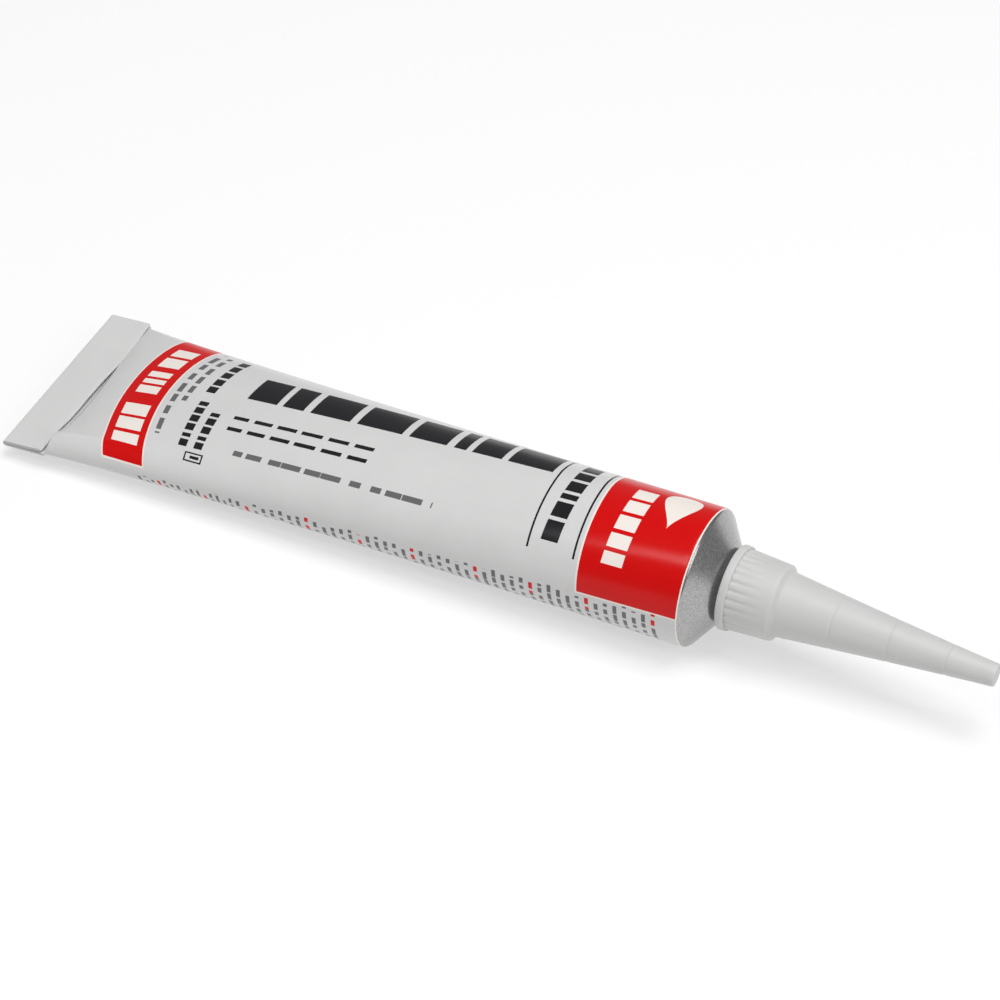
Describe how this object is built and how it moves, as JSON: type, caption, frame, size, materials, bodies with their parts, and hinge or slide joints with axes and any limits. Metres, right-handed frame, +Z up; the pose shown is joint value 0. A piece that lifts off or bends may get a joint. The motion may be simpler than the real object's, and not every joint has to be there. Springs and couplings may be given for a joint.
{
  "type": "caulk tube",
  "caption": "Collapsible aluminium tube of sealant with a folded flat end and a long ribbed screw-on cone nozzle, lying on its back.",
  "frame": {"origin": "on the ground under the middle of the object's box", "axes": "+X towards the nozzle's tip, +Y across the flat end, +Z up; the tube lies on its back as it comes to rest"},
  "size_m": [0.1872, 0.0402, 0.025],
  "materials": {
    "tube_enamel": "gloss enamel over aluminium, printed in red and black fields",
    "bare_aluminium": "satin, grainy, unpainted shoulder and neck",
    "nozzle_plastic": "satin moulded polyethylene"
  },
  "bodies": {
    "tube_body": {"tube": "tube_enamel"},
    "nozzle_body": {"nozzle": "nozzle_plastic"}
  },
  "joints": [
    {"name": "nozzle_off", "type": "slide", "parent": "tube_body", "child": "nozzle_body", "axis": [0.9995, 0, 0.0318], "range_m": [0, 0.02]}
  ]
}
